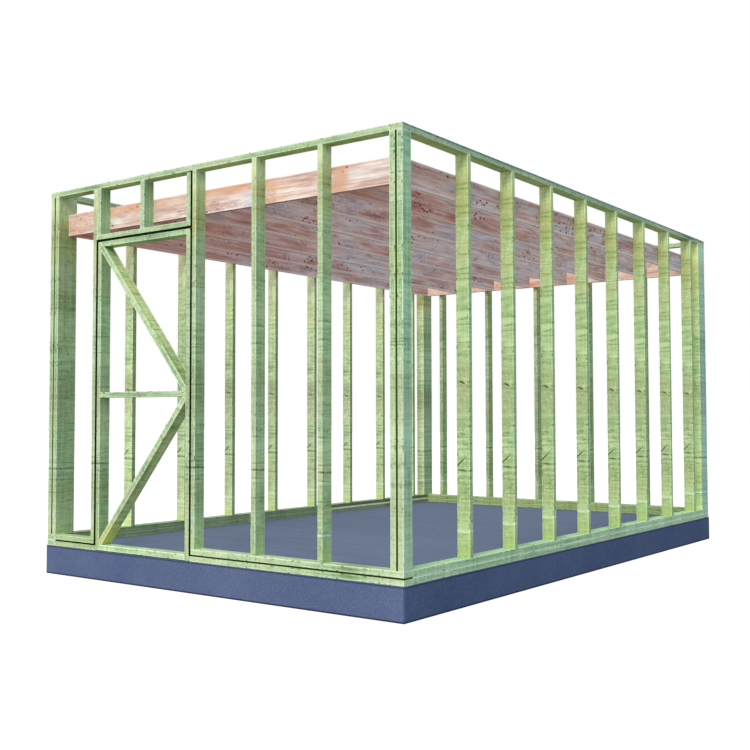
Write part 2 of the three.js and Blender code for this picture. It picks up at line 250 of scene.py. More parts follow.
def spaced(tree, place, along, across):
    """The place counted in steps of so many millimetres along the grain and across it."""
    return add(tree, "Mapping", Vector=place, Scale=(1 / (along * MM), 1 / (across * MM), 1 / (across * MM)))


print("a stud in its own frame:", one_stick(UPRIGHT, (0.0, 0.0, 0.0), (THICK, DEPTH, 2.4)))

# %% [markdown]
# ## Growth rings
# On a sawn face the rings show as long lines, close together where the saw met them squarely and in wide
# flames where it ran along one. All of that comes from one fact, that a ring is a tube round the pith. So the
# wave is a sine of the distance from a pith outside the stick, and slow noise bends it as a real trunk
# wanders. A noise runs from about 0.3 to 0.7 round a mean of 0.5, so the numbers that a Map Range takes from
# it, here and further down, are levels in that span.

# %% Growth rings
# The next four are settings that many nodes share.
COLOUR = {"data_type": "RGBA"}
OVERLAY = {"data_type": "RGBA", "blend_type": "OVERLAY"}
MULTIPLY = {"data_type": "RGBA", "blend_type": "MULTIPLY"}
TIMES = {"operation": "MULTIPLY"}
RING_SPACING_MM = 5.0
RING_WANDER_MM = (700, 120)
WANDER = 0.05
PITH = (0.0, 0.31, 0.28)
ACROSS = (0.0, 1.0, 1.0)


def growth_rings(tree, grain):
    """A wave from 0 to 1 that rises once each ring: the sine of the bent distance from the pith."""
    wander = add(tree, "TexNoise", spaced(tree, grain, *RING_WANDER_MM), Scale=1.0, Detail=3.0, out="Color")
    bent = add(tree, "VectorMath", wander, (0.0, WANDER, WANDER), PITH, operation="MULTIPLY_ADD")
    bent = add(tree, "VectorMath", grain, ACROSS, bent, operation="MULTIPLY_ADD")
    flat = add(tree, "VectorMath", bent, ACROSS, **TIMES)
    reach = add(tree, "VectorMath", flat, operation="LENGTH")
    turns = add(tree, "Math", reach, 2 * math.pi / (RING_SPACING_MM * MM), **TIMES)
    return add(tree, "MapRange", add(tree, "Math", turns, operation="SINE"), -1.0, 1.0, 0.0, 1.0)


print("a ring every", RING_SPACING_MM, "mm, round a pith", round(math.hypot(*PITH), 2), "m away")

# %% [markdown]
# ## Knots and curls
# A knot is where a branch left the trunk: small, dark and ragged. A Voronoi pattern gives one point to each
# long cell, which scatters knots without piling them up, and a fine noise tears their outline. The fibres
# curl round a knot in dark lines. These are contour lines of a noise, drawn where it crosses its mean, and
# they are kept to patches, because most of a stick has none.

# %% Knots and curls
KNOT_EDGE_MM = (14, 10)
KNOT_TEAR = (0.05, 0.22, 0.22)
CURL_MM = (45, 26)
CURL_PATCH_MM = (330, 160)


def knots(tree, grain, along, across, size):
    """A factor of 1 in a knot. There is one to a cell of so many millimetres along the grain and across it,
    and size is its radius over the cell's width."""
    ragged = add(tree, "TexNoise", spaced(tree, grain, *KNOT_EDGE_MM), Scale=1.0, Detail=2.0, out="Color")
    cells = spaced(tree, grain, along, across)
    pushed = add(tree, "VectorMath", ragged, KNOT_TEAR, cells, operation="MULTIPLY_ADD")
    distance = add(tree, "TexVoronoi", pushed, Scale=1.0)
    return add(tree, "MapRange", distance, size, size * 1.5, 1.0, 0.0)


def scattered(tree, grain, low, high):
    """Patches a few hundred millimetres long: a slow noise between low and high."""
    patch = add(tree, "TexNoise", spaced(tree, grain, *CURL_PATCH_MM), Scale=1.0, Detail=1.0)
    return add(tree, "MapRange", patch, low, high, 0.0, 1.0)


def curls(tree, grain, width, patch):
    """Thin lines where a noise is within width of its mean value, kept to the patches where patch is 1."""
    field = add(tree, "TexNoise", spaced(tree, grain, *CURL_MM), Scale=1.0, Detail=2.0, Distortion=1.2)
    away = add(tree, "Math", add(tree, "Math", field, 0.5, operation="SUBTRACT"), operation="ABSOLUTE")
    line = add(tree, "MapRange", away, width * 0.4, width, 1.0, 0.0)
    return add(tree, "Math", line, patch, **TIMES)


print("curls", CURL_MM, "mm apart, in patches of", CURL_PATCH_MM, "mm")

# %% [markdown]
# ## Edges
# A stick's arrises are its most handled part. They are painted pale in a ragged line a few millimetres
# wide, partly as wear and partly as a painted highlight where the edge catches the light, and forks and
# straps have bruised them dark here and there. Both need only the distance from the nearest edge, so they
# follow every stick whatever its size.

# %% Edges
FRAY = -0.004
DENT_MM = (26, 14)
DENT_REACH = (0.007, 0.013)


def worn_and_lit_edges(tree, tone, edge, ragged, colour, width, strength):
    """Paints the edges pale, partly as wear and partly as a painted highlight: a ragged fade over the
    distance from the edge, to a width in millimetres.
    """
    frayed = add(tree, "Math", ragged, FRAY, edge, operation="MULTIPLY_ADD")
    factor = add(tree, "MapRange", frayed, 0.2 * width * MM, width * MM, strength, 0.0)
    return add(tree, "Mix", factor, tone, colour, **COLOUR)


def nicked_edges(tree, tone, edge, grain, colour):
    """Dark dents close to the edges, where a noise along the stick is at its highest."""
    dent = add(tree, "TexNoise", spaced(tree, grain, *DENT_MM), Scale=1.0, Detail=3.0, Roughness=0.7)
    deep = add(tree, "MapRange", dent, 0.57, 0.65, 0.0, 0.8)
    close = add(tree, "MapRange", edge, *DENT_REACH, 1.0, 0.0)
    return add(tree, "Mix", add(tree, "Math", deep, close, **TIMES), tone, colour, **COLOUR)


print("a bruise reaches", round(DENT_REACH[1] / MM), "mm in from the arris")

# %% [markdown]
# ## Bands
# Studs are stored in a stack, with battens between its layers. Each batten leaves a stain right across
# every stud at the same height. A few bands at set heights are painted light instead. So a band is made
# from one coordinate, by how far the height is from the band's. Noise bends it a little and breaks up the
# paint.

# %% Bands
BEND_MM = (400, 60)
BEND = 0.012
BREAK_MM = (60, 16)


def near(tree, value, level, width, strength):
    """strength where a coordinate is near a level, and 0 beyond: a soft band so many millimetres wide."""
    away = add(tree, "Math", add(tree, "Math", value, level, operation="SUBTRACT"), operation="ABSOLUTE")
    return add(tree, "MapRange", away, 0.3 * width * MM, 0.7 * width * MM, strength, 0.0)


def stain_and_light_bands(tree, tone, grain, place, marks):
    """Paints bands across the stick: stains, and painted light at some heights. A mark is its height over
    the slab, its width in millimetres, its colour and its strength."""
    bend = add(tree, "TexNoise", spaced(tree, grain, *BEND_MM), Scale=1.0, Detail=2.0)
    height = add(tree, "Math", bend, BEND, add(tree, "SeparateXYZ", place, out="Z"), operation="MULTIPLY_ADD")
    broken = add(tree, "TexNoise", spaced(tree, grain, *BREAK_MM), Scale=1.0, Detail=2.0)
    broken = add(tree, "MapRange", broken, 0.36, 0.56, 0.25, 1.0)
    for level, width, colour, strength in marks:
        band = near(tree, height, SLAB_TOP + level + BEND / 2, width, strength)
        tone = add(tree, "Mix", add(tree, "Math", band, broken, **TIMES), tone, colour, **COLOUR)
    return tone


print("noise bends a band by up to", round(BEND / MM), "mm")

# %% [markdown]
# ## Ticks and lines
# The straps round a stack leave slanting ticks. A tick is a band whose level slopes across the stud, cut
# short by a second band at right angles to it. A few boards also have long level lines on their inner side,
# which start part of the way along.

# %% Ticks and lines
TICKS = ((0.625, 0.9, 0.020, 60), (1.150, -0.5, 0.040, 36))
TICK_WIDTH_MM = 10
LINE_BREAK_MM = (10, 80)
TURNED = (0.3, 0.7)


def strap_ticks(tree, tone, place, left, colour):
    """Short slanting lines on a stud's broad face. Each has its height over the slab at the stud's left edge,
    its slope, the place of its middle across the stud and its width there in millimetres."""
    x, _, z = add(tree, "SeparateXYZ", place, out=slice(None))
    across = add(tree, "Math", x, left, operation="SUBTRACT")
    for height, slope, middle, length in TICKS:
        level = add(tree, "Math", across, -slope, z, operation="MULTIPLY_ADD")
        line = near(tree, level, SLAB_TOP + height, TICK_WIDTH_MM, 1.0)
        stroke = add(tree, "Math", line, near(tree, across, middle, length, 1.0), **TIMES)
        tone = add(tree, "Mix", stroke, tone, colour, **COLOUR)
    return tone


def level_lines(tree, tone, grain, place, lines):
    """Broken level lines on the faces that look towards +X. A line is its height over the slab, its width in
    millimetres, its colour, its strength and the place along Y where it starts."""
    broken = add(tree, "TexNoise", spaced(tree, grain, *LINE_BREAK_MM), Scale=1.0)
    broken = add(tree, "MapRange", broken, 0.42, 0.50, 0.35, 1.0)
    _, y, z = add(tree, "SeparateXYZ", place, out=slice(None))
    facing = add(tree, "SeparateXYZ", add(tree, "TexCoord", out="Normal"), out="X")
    facing = add(tree, "MapRange", facing, *TURNED, 0.0, 1.0)
    shown = add(tree, "Math", facing, broken, **TIMES)
    for level, width, colour, strength, start in lines:
        line = near(tree, z, SLAB_TOP + level, width, strength)
        line = add(tree, "Math", line, shown, **TIMES)
        begun = add(tree, "MapRange", y, start, start + 0.1, 0.0, 1.0)
        line = add(tree, "Math", line, begun, **TIMES)
        tone = add(tree, "Mix", line, tone, colour, **COLOUR)
    return tone


print("strap ticks stand", [round(tick[0], 3) for tick in TICKS], "m over the slab")

# %% [markdown]
# ## Painted shade in gaps and on faces
# Where two sticks almost touch, the gap between them lies in shade, and that shade is painted dark on its
# walls. A gap is a box, so a point is in it when its distance from the middle is less than half the size
# along all three axes. The faces differ a little too, by painted light and shade: each direction gets a
# cast, a colour that multiplies the tone where the surface looks that way. It reads the object's own
# normals, so it stays on its face when the door swings.

# %% Painted shade in gaps and on faces
def paint_gap_shade(tree, tone, place, gaps):
    """Paints the shade on each gap's walls, a box from low to high corner, in the colour given with it."""
    for low, high, colour in gaps:
        distance = add(tree, "VectorMath", place, ((low + high) / 2).tolist(), operation="SUBTRACT")
        distance = add(tree, "VectorMath", distance, operation="ABSOLUTE")
        distance = add(tree, "VectorMath", distance, ((high - low) / 2).tolist(), operation="SUBTRACT")
        x, y, z = add(tree, "SeparateXYZ", distance, out=slice(None))
        outside = add(tree, "Math", add(tree, "Math", x, y, operation="MAXIMUM"), z, operation="MAXIMUM")
        inside = add(tree, "Math", outside, 0.0, operation="LESS_THAN")
        tone = add(tree, "Mix", inside, tone, colour, **COLOUR)
    return tone


def paint_face_shading(tree, tone, casts):
    """Painted light and shade: the tone times a colour where faces look one way. X is right, Y is front."""
    x, y, z = add(tree, "SeparateXYZ", add(tree, "TexCoord", out="Normal"), out=slice(None))
    sockets = {"X": (x, 1.0), "Y": (y, -1.0), "up": (z, 1.0), "down": (z, -1.0)}
    for direction, colour in casts.items():
        socket, sign = sockets[direction]
        factor = add(tree, "MapRange", socket, TURNED[0] * sign, TURNED[1] * sign, 0.0, 1.0)
        tone = add(tree, "Mix", factor, tone, colour, **MULTIPLY)
    return tone


def to_shader(tree, surface, tone, rough, relief, strength, depth, specular):
    """Links a finish to its shader: the tone, the roughness, and a relief with its strength and its depth in
    metres. The specular level is the same all over, so it is set on the socket itself."""
    tree.links.new(tone, surface["Base Color"])
    tree.links.new(rough, surface["Roughness"])
    surface["Specular IOR Level"].default_value = specular
    tree.links.new(add(tree, "Bump", strength, depth, Height=relief), surface["Normal"])


print("a cast fades in between", TURNED, "of the normal")

# %% [markdown]
# ## Pressure-treated pine
# The walls are sawn pine soaked with a green preservative. It takes unevenly, so the tone drifts from a cool
# green to a straw green along the stick, and the bands of soft and hard wood show as stripes. The band saw
# leaves marks straight across, drawn about three times as coarse as on the real timber, so that they show at
# this distance. The surface is dry and rough, so it has next to no gloss.

# %% Treated pine, soaked and sawn
# edge is the pale of the edges: partly wear, partly a painted highlight.
TREATED = {"ring": "#7f9a6c", "dark": "#34461f", "edge": "#e2f4d6"}
SOAKED = ((0.26, "#87a873"), (0.44, "#b3cfa0"), (0.59, "#c8e0b2"), (0.76, "#c1c890"))
DRIFT_MM = (330, 500)
STRIPE_MM = (900, 16)
SAW_MARKS_MM = (15, 130)
FIBRE_MM = (90, 3)


def soaked_tone(tree, grain, striped):
    """The drift of the preservative along the stick, with stripes and rings of a given strength."""
    drift = add(tree, "TexNoise", spaced(tree, grain, *DRIFT_MM), Scale=1.0, Detail=3.0)
    tone = add(tree, "ValToRGB", drift, stops=SOAKED)
    stripe = add(tree, "TexNoise", spaced(tree, grain, *STRIPE_MM), Scale=1.0, Detail=2.0)
    stripe = add(tree, "MapRange", stripe, 0.3, 0.7, 0.22, 0.74)
    tone = add(tree, "Mix", striped, tone, stripe, **OVERLAY)
    ring = add(tree, "Math", growth_rings(tree, grain), 0.3 * striped, **TIMES)
    return add(tree, "Mix", ring, tone, TREATED["ring"], **COLOUR)


def sawn_tone(tree, tone, grain, crossed, fibre):
    """The tone with the saw's marks across the stick, the deepest of them dark, and with its fibres. It hands
    back the marks as well, since they are also the surface's relief."""
    saw = add(tree, "TexNoise", spaced(tree, grain, *SAW_MARKS_MM), Scale=1.0, Detail=3.0, Roughness=0.7)
    tone = add(tree, "Mix", crossed, tone, add(tree, "MapRange", saw, 0.32, 0.66, 0.22, 0.70), **OVERLAY)
    score = add(tree, "MapRange", saw, 0.32, 0.37, 0.5 * crossed, 0.0)
    tone = add(tree, "Mix", score, tone, TREATED["dark"], **COLOUR)
    tone = add(tree, "Mix", 0.30, tone, add(tree, "MapRange", fibre, 0.3, 0.7, 0.3, 0.7), **OVERLAY)
    return tone, saw


print("saw marks", SAW_MARKS_MM[0], "mm apart, stripes", STRIPE_MM[1], "mm wide")

# %% [markdown]
# ## Treated pine, put together
# Order matters, as it did on site. Curls and knots are in the wood, so they come first. Handling rubs and
# bruises the edges over them, and a painted highlight lies along them too; then the stack leaves its
# bands, some of which are painted light. The lift and the casts paint light and shade over the lot, and
# the painted shade of the gaps comes last so that nothing covers it.

# %% Treated pine, put together
KNOT_CELL_MM = (190, 55)
KNOT_SIZE = 0.05
# Width of the pale edges, partly wear and partly painted highlight.
WORN_AND_LIT_EDGE_MM = 7.0


def treated_pine(name, cut, wear, marks, curled, tick_from, lines, gaps, lift, casts):
    """Green sawn pine. cut is how the stick lies in the log, and wear is how strongly it is striped, crossed
    by the saw and paled at the edges, partly as wear and partly as a painted highlight. curled are the
    heights and widths of the bands where the fibres curl."""
    material, tree, surface = new_material(name)
    striped, crossed, worn_and_lit = wear
    place = add(tree, "TexCoord", out="Object")
    grain, edge = grain_frame(tree, place, *cut)
    fibre = add(tree, "TexNoise", spaced(tree, grain, *FIBRE_MM), Scale=1.0, Detail=2.0)
    tone, saw = sawn_tone(tree, soaked_tone(tree, grain, striped), grain, crossed, fibre)

    patch = scattered(tree, grain, low=0.50, high=0.60)
    height = add(tree, "SeparateXYZ", place, out="Z")
    for level, width in curled:
        band = near(tree, height, SLAB_TOP + level, width, 1.0)
        patch = add(tree, "Math", patch, band, operation="MAXIMUM")
    curl = add(tree, "Math", curls(tree, grain, width=0.02, patch=patch), 0.5, **TIMES)
    tone = add(tree, "Mix", curl, tone, TREATED["dark"], **COLOUR)
    knot = add(tree, "Math", knots(tree, grain, *KNOT_CELL_MM, KNOT_SIZE), 0.8, **TIMES)
    tone = add(tree, "Mix", knot, tone, TREATED["dark"], **COLOUR)

    # Pale edges: partly wear, partly a painted highlight.
    tone = worn_and_lit_edges(tree, tone, edge, fibre, TREATED["edge"], WORN_AND_LIT_EDGE_MM, worn_and_lit)
    tone = nicked_edges(tree, tone, edge, grain, TREATED["dark"])
    tone = stain_and_light_bands(tree, tone, grain, place, marks)
    if tick_from is not None:
        tone = strap_ticks(tree, tone, place, tick_from, TREATED["dark"])
    # Painted light and shade: the lift brightens the whole stick, and the casts tint its faces.
    tone = paint_face_shading(tree, add(tree, "HueSaturation", Value=lift, Color=tone), casts)
    if lines:
        tone = level_lines(tree, tone, grain, place, lines)
    # Painted shade in the gaps.
    tone = paint_gap_shade(tree, tone, place, gaps)

    rough = add(tree, "MapRange", fibre, 0.2, 0.8, 0.72, 0.92)
    relief = add(tree, "Math", fibre, 0.5, **TIMES)
    relief = add(tree, "Math", saw, 0.5, relief, operation="MULTIPLY_ADD")
    to_shader(tree, surface, tone, rough, relief, strength=0.5, depth=0.0015, specular=0.3)
    return material


print("treated pine: a knot to each", KNOT_CELL_MM, "mm")

# %% [markdown]
# ## Untreated pine
# The joists are planed smooth and have had no preservative. Fresh pine is salmon to pale pink, and some of
# it has greyed to lavender in the weather. Long dark lines run with the grain. The knots are dark red and
# come in clusters, as whorls of branches did on the tree, so a slow noise switches them on and off. Towards
# the front the wood turns redder and darker, and resin has bled amber out of the front rim.

# %% Untreated pine
BARE = {
    "brown": "#ba9488",
    "salmon": "#e6b28c",
    "reddened": "#ecb4a0",
    "amber": "#c98a62",
    "dark": "#64201e",
    # edge: the pale arrises, partly left by the planer and partly a painted highlight.
    "edge": "#f2dcd4",
}
GREYED = ((0.34, "#ba9488"), (0.45, "#cfb0a8"), (0.53, "#d8cac4"), (0.64, "#c4bcc4"))
BLOTCH_MM = (520, 95)
FRESH_MM = (640, 110)
STREAK_MM = (300, 14)
WHORL_MM = (260, 120)
WHORL_KNOT_MM = (50, 28)
WHORL_KNOT_SIZE = 0.21
REDDENED_FROM, REDDENED_TO = -2.4, 0.4
BLEED_RAGGED = 0.12


def planed_tone(tree, grain, salmon, streaked, streak):
    """Blotches of brown, rose, pale pink and lavender, patches that are still fresh, streaks and rings."""
    blotch = add(tree, "TexNoise", spaced(tree, grain, *BLOTCH_MM), Scale=1.0, Detail=4.0, Roughness=0.6)
    tone = add(tree, "ValToRGB", blotch, stops=GREYED)
    fresh = add(tree, "TexNoise", spaced(tree, grain, *FRESH_MM), Scale=1.0, Detail=2.0)
    fresh = add(tree, "MapRange", fresh, 0.50, 0.62, 0.0, salmon)
    tone = add(tree, "Mix", fresh, tone, BARE["salmon"], **COLOUR)
    tone = add(tree, "Mix", streaked, tone, add(tree, "MapRange", streak, 0.34, 0.66, 0.12, 0.80), **OVERLAY)
    ring = add(tree, "Math", growth_rings(tree, grain), 0.25, **TIMES)
    return add(tree, "Mix", ring, tone, BARE["brown"], **COLOUR)


def clustered_knots(tree, tone, grain):
    """Dark red curls and, where a slow noise is high, clusters of small knots."""
    curl = curls(tree, grain, width=0.03, patch=scattered(tree, grain, low=0.48, high=0.56))
    curl = add(tree, "Math", curl, 0.6, **TIMES)
    tone = add(tree, "Mix", curl, tone, BARE["dark"], **COLOUR)
    whorl = add(tree, "TexNoise", spaced(tree, grain, *WHORL_MM), Scale=1.0, Detail=1.0)
    whorl = add(tree, "MapRange", whorl, 0.56, 0.61, 0.0, 0.95)
    knot = knots(tree, grain, *WHORL_KNOT_MM, WHORL_KNOT_SIZE)
    knot = add(tree, "Math", knot, whorl, **TIMES)
    return add(tree, "Mix", knot, tone, BARE["dark"], **COLOUR)


def bled_resin(tree, tone, x, ragged, resin):
    """Amber stains. Each is its middle along X, its width in millimetres, the height where its ragged lower
    edge starts and its strength."""
    for middle, width, low, strength in resin:
        above = add(tree, "MapRange", ragged, low + 0.04, low + 0.08, 0.0, 1.0)
        stain = add(tree, "Math", near(tree, x, middle, width, strength), above, **TIMES)
        tone = add(tree, "Mix", stain, tone, BARE["amber"], **COLOUR)
    return tone


print("untreated pine: knots in clusters about", WHORL_MM[0], "mm long")

# %% [markdown]
# ## Untreated pine, put together
# The same order holds here: first what is in the wood, then the arrises, painted pale partly as the planer
# left them and partly as a highlight, then resin and the redder front, and the painted light and shade last.
# Planed wood is a little smoother than sawn, and its fibres stand up less, so the roughness is lower and the
# relief shallower.

# %% Untreated pine, put together
def bare_pine(name, cut, lift, casts, salmon, streaked, reddened, resin, arris):
    """Pink to lavender pine. salmon is how much of it is still fresh, streaked how strong its lines are,
    reddened how much redder and darker its front end is, and arris the width in millimetres and the strength
    of its pale edges, partly left by the planer and partly a painted highlight."""
    material, tree, surface = new_material(name)
    place = add(tree, "TexCoord", out="Object")
    grain, edge = grain_frame(tree, place, *cut)
    fibre = add(tree, "TexNoise", spaced(tree, grain, *FIBRE_MM), Scale=1.0, Detail=2.0)
    streak = add(tree, "TexNoise", spaced(tree, grain, *STREAK_MM), Scale=1.0, Detail=4.0, Roughness=0.65)
    tone = planed_tone(tree, grain, salmon, streaked, streak)
    tone = clustered_knots(tree, tone, grain)
    # Pale arrises: partly left by the planer, partly a painted highlight.
    tone = worn_and_lit_edges(tree, tone, edge, fibre, BARE["edge"], *arris)

    x, y, z = add(tree, "SeparateXYZ", place, out=slice(None))
    ragged = add(tree, "Math", streak, BLEED_RAGGED, z, operation="MULTIPLY_ADD")
    tone = bled_resin(tree, tone, x, ragged, resin)
    # Redder and darker towards the front.
    redder = add(tree, "MapRange", y, REDDENED_FROM, REDDENED_TO, reddened, 0.0)
    tone = add(tree, "Mix", redder, tone, BARE["reddened"], **MULTIPLY)
    # Painted light and shade: the lift and the casts.
    tone = paint_face_shading(tree, add(tree, "HueSaturation", Value=lift, Color=tone), casts)

    rough = add(tree, "MapRange", fibre, 0.2, 0.8, 0.6, 0.85)
    to_shader(tree, surface, tone, rough, fibre, strength=0.4, depth=0.001, specular=0.3)
    return material


print("foxed from", REDDENED_FROM, "to", REDDENED_TO, "m along the building")

# %% [markdown]
# ## Which stick is which
# Each solid's box comes from the frame. A plain stick has its grain along its longest side, and a brace
# slopes from corner to corner of its box. The rest is written out: a corner post is two studs with a spacer,
# the back ones with nailers across them, and a sole plate is two boards with a thin gap between them.

# %% Plain sticks, braces and posts
BRACE_HALF = 1.0


def plain_stick(low, size):
    """A solid that is one stick, with its grain along its longest side."""
    return one_stick((LEVEL_X, LEVEL_Y, UPRIGHT)[int(np.argmax(size))], low, size)


def brace_stick(low, size, rise):
    """A stick that slopes across the leaf: turned by the slope from corner to corner of its box. It counts as
    longer than it is, so its cut ends get no pale edge."""
    turn = (0.0, rise * math.atan2(size[2], size[0]), 0.0)
    half = np.array((BRACE_HALF, DEPTH / 2, THICK / 2))
    start = np.array(Euler(turn).to_matrix()) @ (low + size / 2) - half
    return turn, start.tolist(), half.tolist(), [NO_REPEAT] * 3


def post_sticks(low, size, in_front):
    """A corner post: two studs with a spacer between them, and on its inner side two nailers across them. In
    front the nailers lie so close that post and nailers pass for one stick."""
    if in_front:
        return [one_stick(UPRIGHT, low, (THICK, size[1], size[2]), (DEPTH - THICK, 0.0, 0.0))], None
    wall = low + (0.0, size[1] - DEPTH, 0.0)
    studs = one_stick(UPRIGHT, wall, (THICK, DEPTH, size[2]), (DEPTH - THICK, 0.0, 0.0))
    nailers = one_stick(UPRIGHT, low, (size[0], 2 * THICK, size[2]))
    return [nailers, studs], ("Y", float(wall[1]))


print("a brace:", brace_stick(np.zeros(3), np.ones(3), 1))

# %% [markdown]
# ## The sticks of a solid
# One function answers for all of them, from a solid's name and its box. Two solids at the door are a level
# stick with upright ones on it, split at the height where these stand.

# %% The sticks of a solid
def sticks_of(name):
    """The sticks of a solid, and the plane that splits them where there are two kinds."""
    low, high = (np.array(corner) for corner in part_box(name))
    size = high - low
    layer = (size[0], size[1], THICK)
    if name.endswith("sole_plate"):
        turn = LEVEL_X if size[0] > size[1] else LEVEL_Y
        return [one_stick(turn, low, layer, (0.0, 0.0, SOLE_PITCH))], None
    if name == "hinge_stud_and_sole":
        foot = (LEAF_LEFT - DOOR_GAP - THICK, low[1], SOLE_TOP)
        sole = one_stick(LEVEL_X, low, layer, (0.0, 0.0, SOLE_PITCH))
        return [sole, one_stick(UPRIGHT, foot, (THICK, size[1], high[2] - SOLE_TOP))], ("Z", SOLE_TOP)
    if name == "door_header":
        foot = (low[0], low[1], HEADER_TOP)
        cripples = one_stick(UPRIGHT, foot, (THICK, size[1], high[2] - HEADER_TOP), (CRIPPLE_PITCH, 0.0, 0.0))
        return [one_stick(LEVEL_X, low, layer), cripples], ("Z", HEADER_TOP)
    if name.endswith("post"):
        return post_sticks(low, size, in_front=low[1] < 0)
    if name.endswith("brace"):
        return [brace_stick(low, size, 1 if "lower" in name else -1)], None
    return [plain_stick(low, size)], None


timber = [name for name in sorted(nodes) if name != "concrete_slab" and not name.endswith("_half")]
print("split in two:", [name for name in timber if sticks_of(name)[1]])

# %% [markdown]
# ## Marks of the stack, and painted light
# The studs took their stains in the stack, so these are at the same heights on all of them: first the
# broad bands, where the tone drifts, then the narrow ones that the battens left. Two broad bands are
# painted light: the yellow one 2.27 m over the slab is painted warm light reflected from the pine joists,
# and the pale one at 2.47 m is a painted highlight against the shadow of the top plate. The left studs
# have one more painted highlight at their heads, against the shadow of the joists. The chalk line was
# snapped round the walls once they stood. The near corner post has no painted light at its head, and it is
# painted paler towards its foot. Two boards have lines along them instead: the left sole plate's inner
# side and the right top plate's upper edge.

# %% Marks of the stack and painted light
MARKS = (
    (0.06, 170, "#b6cc78", 0.45),
    (0.17, 160, "#cfe0a4", 0.35),
    (0.41, 190, "#9aa664", 0.40),
    (1.08, 330, "#9ea27a", 0.45),
    (1.90, 300, "#b2b67a", 0.25),
    # Painted warm light, reflected from the pine joists.
    (2.27, 330, "#c8bd68", 0.45),
    # Painted highlight against the shadow of the top plate.
    (2.47, 190, "#e9f5bc", 0.70),
    (0.60, 12, "#465326", 0.8),
    (0.80, 7, "#7c8a55", 0.4),
    *((level, 9, "#d3e3bb", 0.5) for level in (0.35, 0.915, 1.56)),
    *((level, 8, "#66783f", 0.5) for level in (0.43, 1.13, 1.48, 2.20)),
    *((level, 8, "#5d6c38", 0.5) for level in (1.37, 1.76)),
    *((level, 7, "#6c7b48", 0.5) for level in (0.52, 0.55, 0.64)),
)
CHALK_LINE = (0.235, 10, "#dcf4e2", 1.6)
CHALKED = ("left_", "right_", "back_", "front_stud_2")
# Painted highlight at the heads of the left studs, against the shadow of the joists.
HEAD_HIGHLIGHT = (2.12, 260, "#f0fbd6", 0.6)
# Painted paler towards the foot of the near corner post.
PALE_FOOT = (0.42, 1000, "#dfe6c4", 0.35)
# The near corner post gets no painted light above this height.
GREEN_HEAD = 2.2
POST_DROP = 0.05
BRACE_MARKS = ((0.10, 190, "#cfc85a", 0.7), (0.36, 200, "#a9a070", 0.3), (0.72, 240, "#c2b878", 0.2))
CURLED = ((1.20, 110), (1.79, 80), (0.86, 60))
FAR = 9.0
LINES = {
    "left_sole_plate": (
        (0.040, 20, "#83987c", 1.0, -FAR),
        (0.078, 12, "#3c4a30", 0.8, -FAR),
        (0.058, 34, "#59652f", 0.8, 0.6),
        (0.041, 13, "#faffe8", 1.8, 0.65),
    ),
    "right_top_plate": ((WALL_TOP - SLAB_TOP, 22, "#34565c", 0.85, -FAR),),
}


def is_upright(name):
    """Whether a solid shows as a standing stick."""
    return "stud_" in name or name.endswith(("post", "latch_stud", "stile"))


def marks_of(name):
    """The bands across a stick. On the posts they lie a little lower than on the studs."""
    if not is_upright(name):
        return BRACE_MARKS if name == "door_lower_brace" else ()
    drop = POST_DROP if name.endswith("post") else 0.0
    marks = tuple((level - drop, *rest) for level, *rest in MARKS)
    if name == "front_right_post":
        return (*(mark for mark in marks if mark[0] < GREEN_HEAD), PALE_FOOT)
    if name.startswith(CHALKED):
        marks += (CHALK_LINE,)
    return (*marks, HEAD_HIGHLIGHT) if name.startswith("left_stud") else marks


print("bands across a left stud:", len(marks_of("left_stud_1")))

# %% [markdown]
# ## Where the painted gap shade is
# They are the slits round the door leaf, the seam in the sole plates and the grooves of the corner posts.
# Each is so narrow that its own shadow would be lost between two pixels, so the shade is painted a few
# millimetres wider, on the wood at both sides. At the leaf it is only in the front edge, and leans to the
# right.

# %% Where the painted gap shade is
# Painted shade: dark in the slits and the sole seams, lighter in the grooves of the posts.
GAP_SHADE = "#0a2a00"
SEAM_SHADE = "#3a5a1c"
GROOVE_SHADE = "#638e2a"
BLEED = 0.004
GROOVE_BLEED = 0.001
LEAN = 0.002
# How far back from the front the painted shade of the slits reaches.
GAP_SHADE_DEPTH = 0.018


def gap_box(colour, bleed=BLEED, **ranges):
    """A gap as a box, from the ranges that bound it, grown by the bleed on all sides."""
    low, high = np.array([ranges.get(axis, (-FAR, FAR)) for axis in "xyz"]).T
    return low - bleed, high + bleed, colour


def post_groove(name):
    """The groove between the two studs of a corner post, which opens to the outside."""
    low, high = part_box(name)
    outer = (low.y, low.y + DEPTH) if low.y < 0 else (high.y - DEPTH, high.y)
    return gap_box(GROOVE_SHADE, GROOVE_BLEED, x=(low.x + THICK, high.x - THICK), y=outer)


edge_y = (WALL_FRONT, WALL_FRONT + GAP_SHADE_DEPTH)
hinge_x = (LEAF_LEFT - DOOR_GAP, LEAF_LEFT + LEAN)
latch_x = (LEAF_RIGHT + LEAN, LEAF_RIGHT + DOOR_GAP + LEAN)
seam_z = (SLAB_TOP + THICK, SLAB_TOP + SOLE_PITCH)
hinge_gap = gap_box(GAP_SHADE, x=hinge_x, y=edge_y, z=(SLAB_TOP + THICK, LEAF_TOP + DOOR_GAP))
latch_gap = gap_box(GAP_SHADE, x=latch_x, y=edge_y, z=(SLAB_TOP + THICK, FAR))
head_gap = gap_box(GAP_SHADE, y=edge_y, z=(LEAF_TOP, LEAF_TOP + DOOR_GAP))
GAPS = {
    "hinge_stud_and_sole": [hinge_gap, gap_box(GAP_SHADE, z=seam_z)],
    "door_hinge_stile": [hinge_gap, head_gap],
    "door_latch_stile": [latch_gap, head_gap],
    "door_top_rail": [head_gap],
    "door_header": [latch_gap, head_gap],
    "latch_stud": [latch_gap],
    "front_sole_plate": [latch_gap, gap_box(SEAM_SHADE, z=seam_z)],
}
GAPS.update({name: [post_groove(name)] for name in timber if name.endswith("post")})
print("solids with a wet gap:", len(GAPS))
